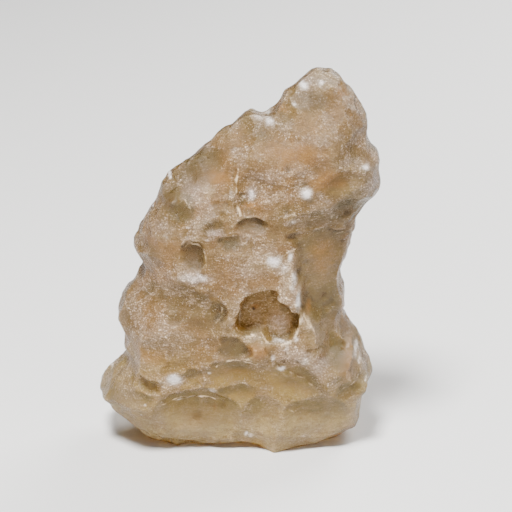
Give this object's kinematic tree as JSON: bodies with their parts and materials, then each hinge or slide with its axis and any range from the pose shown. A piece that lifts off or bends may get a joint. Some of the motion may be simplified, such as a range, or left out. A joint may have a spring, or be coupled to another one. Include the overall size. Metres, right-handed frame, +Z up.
{
  "type": "libyan desert glass nodule",
  "caption": "Upright nodule of frosted pale golden natural glass with a wind-scalloped, pitted face, standing on its worn foot as a display specimen.",
  "frame": {"origin": "middle of the bounding box in x and y, on the ground that the foot rests on", "axes": "+Z up along the stone's height, the most deeply carved face looks along -Y, +X to that face's right"},
  "size_m": [0.0374, 0.018, 0.0508],
  "materials": {
    "desert_glass": "frosted, wind-worn"
  },
  "bodies": {
    "root": {"desert_glass": "desert_glass"}
  },
  "joints": []
}
